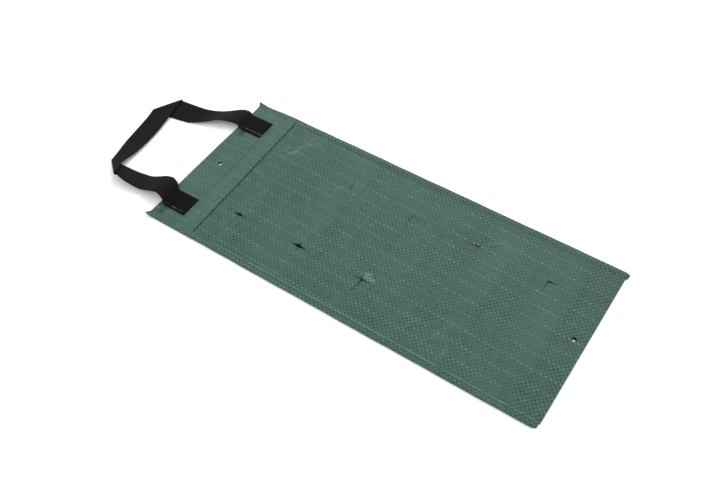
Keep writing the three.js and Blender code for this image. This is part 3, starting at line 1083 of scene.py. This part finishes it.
def stitch_row(starts, ends, thickness):
    """One spindle of thread from each start to each end: its middle rises and its ends dip in."""
    starts, ends = np.asarray(starts, float), np.asarray(ends, float)
    share = np.linspace(0, 1, STITCH_STATIONS)
    turn = np.linspace(0, 2 * np.pi, STITCH_ROUND, endpoint=False)
    axis = ends - starts
    length = np.linalg.norm(axis, axis=1, keepdims=True)
    axis = axis / length
    side = np.cross(axis, [0, 0, 1.0])
    side /= np.linalg.norm(side, axis=1, keepdims=True)
    up = np.cross(side, axis)
    swell = np.sin(np.pi * (0.06 + 0.88 * share)) ** 0.45 * thickness / 2
    rise = thickness * 0.55 * (np.sin(np.pi * share) - 0.6)
    core = starts[:, None] + (ends - starts)[:, None] * share[:, None] + up[:, None] * rise[:, None]

    ring = side[:, None, None] * np.cos(turn)[:, None] + up[:, None, None] * np.sin(turn)[:, None]
    points = core[:, :, None] + ring * swell[:, None, None]
    each = STITCH_STATIONS * STITCH_ROUND
    one = tube_faces(STITCH_STATIONS, STITCH_ROUND, flip=True)
    faces = [[v + k * each for v in face] for k in range(len(starts)) for face in one]
    flat_uv = np.stack(np.meshgrid(turn * thickness / 2, share * STITCH_PITCH)[::1], -1)
    uv = np.broadcast_to(flat_uv.reshape(1, each, 2), (len(starts), each, 2))
    return points.reshape(-1, 3), faces, uv.reshape(-1, 2)


def add_stitches(name, starts, ends, thickness, material, body, node):
    """Puts one row of stitches in the scene."""
    points, faces, uv = stitch_row(starts, ends, thickness)
    row = add_object(name, points, faces, uv, materials=[material])
    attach(row, body)
    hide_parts(node)
    print(name, len(starts), "stitches")


for side, sign in (("left", -1), ("right", 1)):
    y = np.arange(BOTTOM_Y + 6 * MM, HEM_Y - 6 * MM, STITCH_PITCH)
    x = np.full_like(y, sign * (SEAM_X + ROW_INSET))
    z = np.full_like(y, ROW_LEVEL)
    add_stitches(
        f"seam_stitches_{side}", np.stack([x, y + 0.5 * MM, z], -1),
        np.stack([x, y + 3.6 * MM, z], -1), 0.5 * MM, SEAM_THREAD, "bag",
        f"seam_thread_{side}")

x = np.arange(-80.0 * MM, 77.0 * MM, HEM_PITCH)
y = np.full_like(x, TOP_Y - HEM_ROW)
z = hem_band(x, y) + CLOTH
add_stitches(
    "hem_stitches", np.stack([x, y, z], -1), np.stack([x + HEM_STITCH, y, z], -1),
    0.3 * MM, HEM_THREAD, "mouth_lip", "hem_thread")

# %% [markdown]
# The handle
#
# The handle is one length of black webbing. Both ends are sewn to the front hem, each leg springs up in
# a hump at the top edge, and the grip has been folded down flat over both legs, which leaves a diagonal
# fold at each corner. Its two edges are chosen at a few stations and joined by smooth curves, and a flat
# section with rounded edges is carried along them.

# %% Handle route
WEBBING = 1.2 * MM
WEB_WIDTH = 25 * MM
TAB_LEVEL = 3.0
TAB_END = -33.4

# The radius of each diagonal fold at the strap's two edges: the left one stands open.
LEFT_FOLD = (2.4, 1.0)
RIGHT_FOLD = (1.0, 1.0)

# Each station is the strap's two edges as x, y above the top edge and z, in millimetres.
LEFT_LEG = [
    (-81, TAB_END - 1, TAB_LEVEL, -56, TAB_END - 1, TAB_LEVEL),
    (-81, -20, TAB_LEVEL, -56, -20, TAB_LEVEL),
    (-81, -7.6, TAB_LEVEL, -56, -7.6, TAB_LEVEL),
    (-80.7, -6.1, 3.5, -55.5, -6.1, 3.5),
    (-80.0, -5.0, 6.0, -54.4, -5.2, 6.2),
    (-79.0, -3.2, 9.0, -53.0, -3.6, 9.4),
    (-77.9, 3.4, 12.4, -52.0, 2.4, 12.7),
    (-78.8, 11, 11.5, -53.4, 11, 11.5),
    (-79.7, 19.5, 8.5, -55.6, 20, 7.7),
    (-80.8, 30, 6, -57.5, 31, 3),
    (-81.8, 42, 8, -58.8, 43, 1.4),
    (-82, 52, 10, -60, 55, 0.8),
    (-80.4, 59.8, 10, -61.8, 87, 0.8),
]
GRIP = [
    (-61, 70.6, 7, -47.5, 90.6, 1.8),
    (-38, 70.6, 3.6, -34.5, 94, 1.0),
    (-8, 72.6, 2.4, -12, 97.2, 0.9),
    (20, 76.6, 3.6, 8, 99.6, 1.4),
]
RIGHT_LEG = [
    (51.5, 81.3, 3, 21, 101.4, 0.8),
    (52.2, 63.5, 4.5, 27.3, 61.2, 0.8),
    (56.7, 49.6, 1.5, 31.7, 47.6, 2),
    (61.7, 37.4, 0.8, 38.2, 34.6, 5),
    (68.1, 26.3, 1.2, 44.3, 22.8, 8.8),
    (76.0, 11, 4.8, 49.4, 10, 8.5),
    (76.8, 0.4, 6.9, 51.5, 0.4, 8.0),
    (76.9, -2.6, 4.6, 51.9, -2.6, 5.2),
    (76.7, -4.2, 3.2, 51.7, -4.2, 3.3),
    (76.8, -6, TAB_LEVEL, 51.6, -6, TAB_LEVEL),
    (77.0, -18, TAB_LEVEL, 51.7, -18, TAB_LEVEL),
    (77.2, TAB_END + 1.2, TAB_LEVEL, 51.8, TAB_END + 1.2, TAB_LEVEL),
]


def smooth_path(points, steps):
    """A Catmull-Rom curve through the points: each span is a cubic whose ends follow its neighbours."""
    points = np.asarray(points, float)
    ends = np.concatenate([[2 * points[0] - points[1]], points, [2 * points[-1] - points[-2]]])
    t = (np.arange(steps) / steps)[None, :, None]
    p0, p1, p2, p3 = (ends[k: len(ends) - 3 + k, None] for k in range(4))
    curve = 0.5 * (
        2 * p1 + (p2 - p0) * t + (2 * p0 - 5 * p1 + 4 * p2 - p3) * t ** 2
        + (3 * p1 - p0 - 3 * p2 + p3) * t ** 3)
    return np.concatenate([curve.reshape(-1, points.shape[1]), points[-1:]])


def fold_turn(crease, sign, radius, steps=6):
    """The half turn about a crease line: stations on a small half circle that bulges away from the bag.

    radius holds the half circle's size at each of the strap's edges.
    """
    a, b = np.array(crease, float).reshape(2, 3)
    along = (b - a)[:2] / np.hypot(*(b - a)[:2])
    out = sign * np.array([-along[1], along[0], 0.0])
    angle = np.linspace(0, np.pi, steps + 1)[1:-1, None]
    move = np.sin(angle) * out + (1 - np.cos(angle)) * np.array([0, 0, 1.0])
    return np.concatenate([a + radius[0] * move, b + radius[1] * move], axis=1)


def handle_stations():
    """Both edges at every station, as rows of six numbers, in metres."""
    lifts = [np.array([0, 0, 2 * fold[0], 0, 0, 2 * fold[1]]) for fold in (LEFT_FOLD, RIGHT_FOLD)]
    legs = [np.array(leg, float) for leg in (LEFT_LEG, GRIP, RIGHT_LEG)]
    grip = np.concatenate([[legs[0][-1] + lifts[0]], legs[1], [legs[2][0] + lifts[1]]])
    rows = np.concatenate([
        smooth_path(legs[0], 6),
        fold_turn(LEFT_LEG[-1], 1, LEFT_FOLD),
        smooth_path(grip, 8),
        fold_turn(RIGHT_LEG[0], -1, RIGHT_FOLD)[::-1],
        smooth_path(legs[2], 6)])
    rows = rows * MM
    rows[:, [1, 4]] += TOP_Y
    return rows


# %% Webbing
WEB_ACROSS = 15

# The weave's pitch across the webbing and along it, in millimetres.
END_PITCH = 1.25
PICK_PITCH = 1.1


def webbing_mesh(rows):
    """A flat section, thinner at its two rounded edges, carried along the stations."""
    a, b = rows[:, :3], rows[:, 3:]
    middle = (a + b) / 2
    ahead = np.gradient(middle, axis=0)
    normal = np.cross(ahead, b - a)
    normal /= np.linalg.norm(normal, axis=1, keepdims=True)
    share = np.linspace(0, 1, WEB_ACROSS)
    edge = np.abs(2 * share - 1)
    half = WEBBING / 2 * (1 - 0.75 * smoothstep((edge - 0.86) / 0.14))
    across = a[:, None] + (b - a)[:, None] * share[:, None]
    top = across + normal[:, None] * half[:, None]
    under = (across - normal[:, None] * half[:, None])[:, ::-1]
    grid = np.concatenate([top, under], axis=1)
    length = np.concatenate([[0], np.cumsum(np.linalg.norm(np.diff(middle, axis=0), axis=1))])
    wide = np.concatenate([share, share[::-1]]) * WEB_WIDTH
    uv = np.stack(np.broadcast_arrays(wide, length[:, None]), -1)
    faces = tube_faces(len(rows), 2 * WEB_ACROSS, flip=True)
    return grid.reshape(-1, 3), faces, uv.reshape(-1, 2), length[-1]


def webbing_material(length):
    """Black webbing: fine crosswise picks with a rib every other end, nearly matt.

    The sewn ends are pressed flat, darker and smoother, and on each the selvedge nearer the
    bag's left side has worn to a pale, broken line.
    """
    n = Nodes("black_webbing")
    x, y = n.uv()
    end = (x / END_PITCH).floor()
    rib = (x / END_PITCH).fraction().hill(0.5, 0.5)
    pick = ((y / PICK_PITCH + end.modulo(2.0) * 0.5) * FULL_TURN).sine() * 0.5 + 0.5
    height = rib.ramp(0.0, 0.5) * (0.4 + 0.6 * pick)
    fuzz = n.noise(x, y, 1.2, 3.0) - 0.5
    wear = n.noise(x, y, 18.0, 3.0, 4.0) - 0.5
    first_end = 1.0 - y.ramp(26.0, 28.5)
    last_end = y.ramp(length - 28.5, length - 26.0)
    sewn = first_end + last_end
    shade = 0.34 + height * 0.3 + fuzz * 0.25 + wear * 0.3 - sewn * 0.33
    black = n.mix(shade.clamped(), linear(2, 2, 2), linear(36, 33, 37))
    selvedge = x.hill(2.6, 0.8) * first_end + x.hill(WEB_WIDTH / MM - 3.6, 0.8) * last_end
    broken = n.noise(x * 0.3, y, 3.0, 3.0, 2.0).ramp(0.42, 0.62)
    colour = n.mix((selvedge * broken * 0.9).clamped(), black, linear(120, 124, 122))
    return n.finish({
        "Base Color": colour, "Roughness": 0.78 - height * 0.12 - sewn * 0.22,
        "Specular IOR Level": 0.035, "Sheen Weight": 0.015, "Sheen Roughness": 0.5,
        "Normal": n.bump(height + fuzz * 0.3, 0.2 * MM, 0.6)})


points, faces, uv, strap_length = webbing_mesh(handle_stations())
BLACK_WEBBING = webbing_material(float(strap_length / MM))
handle = add_object("webbing_handle", points, faces, uv, materials=[BLACK_WEBBING])
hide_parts("handle_strap", "handle_tab_left", "handle_tab_right")
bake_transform(handle)
print("webbing length:", round(strap_length, 3), "m")

# %% [markdown]
# The stitching on the handle's ends
#
# A rectangle of black stitches holds each end of the webbing down on the hem.

# %% Handle stitches
def box_stitches(x0, x1, y0, y1, z, pitch=3.2 * MM, gap=0.5 * MM):
    """Stitches along the four sides of a rectangle, as arrays of starts and ends."""
    corners = np.array([[x0, y0], [x1, y0], [x1, y1], [x0, y1], [x0, y0]])
    starts, ends = [], []
    for p, q in zip(corners[:-1], corners[1:]):
        length = np.hypot(*(q - p))
        step = (q - p) / length
        at = np.arange(0, length - 0.5 * pitch, pitch)[:, None]
        starts.append(p + step * at)
        ends.append(p + step * (at + pitch - gap))
    starts, ends = np.concatenate(starts), np.concatenate(ends)
    level = np.full(len(starts), z)
    return np.column_stack([starts, level]), np.column_stack([ends, level])


TABS = {"left": LEFT_LEG[:3], "right": RIGHT_LEG[-3:]}

# How far inside the webbing's edges the rectangle runs, in millimetres. Its top row is just
# past the last flat station.
MARGIN = 2.6
PAST_TOP = 0.4

for side, stations in TABS.items():
    corners = np.reshape(stations, (-1, 3))[:, :2]
    low, high = corners.min(axis=0), corners.max(axis=0)
    starts, ends = box_stitches(
        (low[0] + MARGIN) * MM, (high[0] - MARGIN) * MM, TOP_Y + (low[1] + MARGIN) * MM,
        TOP_Y + (high[1] + PAST_TOP) * MM, TAB_LEVEL * MM + WEBBING / 2)
    add_stitches(
        f"tab_stitches_{side}", starts, ends, 0.45 * MM, BLACK_THREAD,
        "mouth_lip", f"tab_thread_{side}")
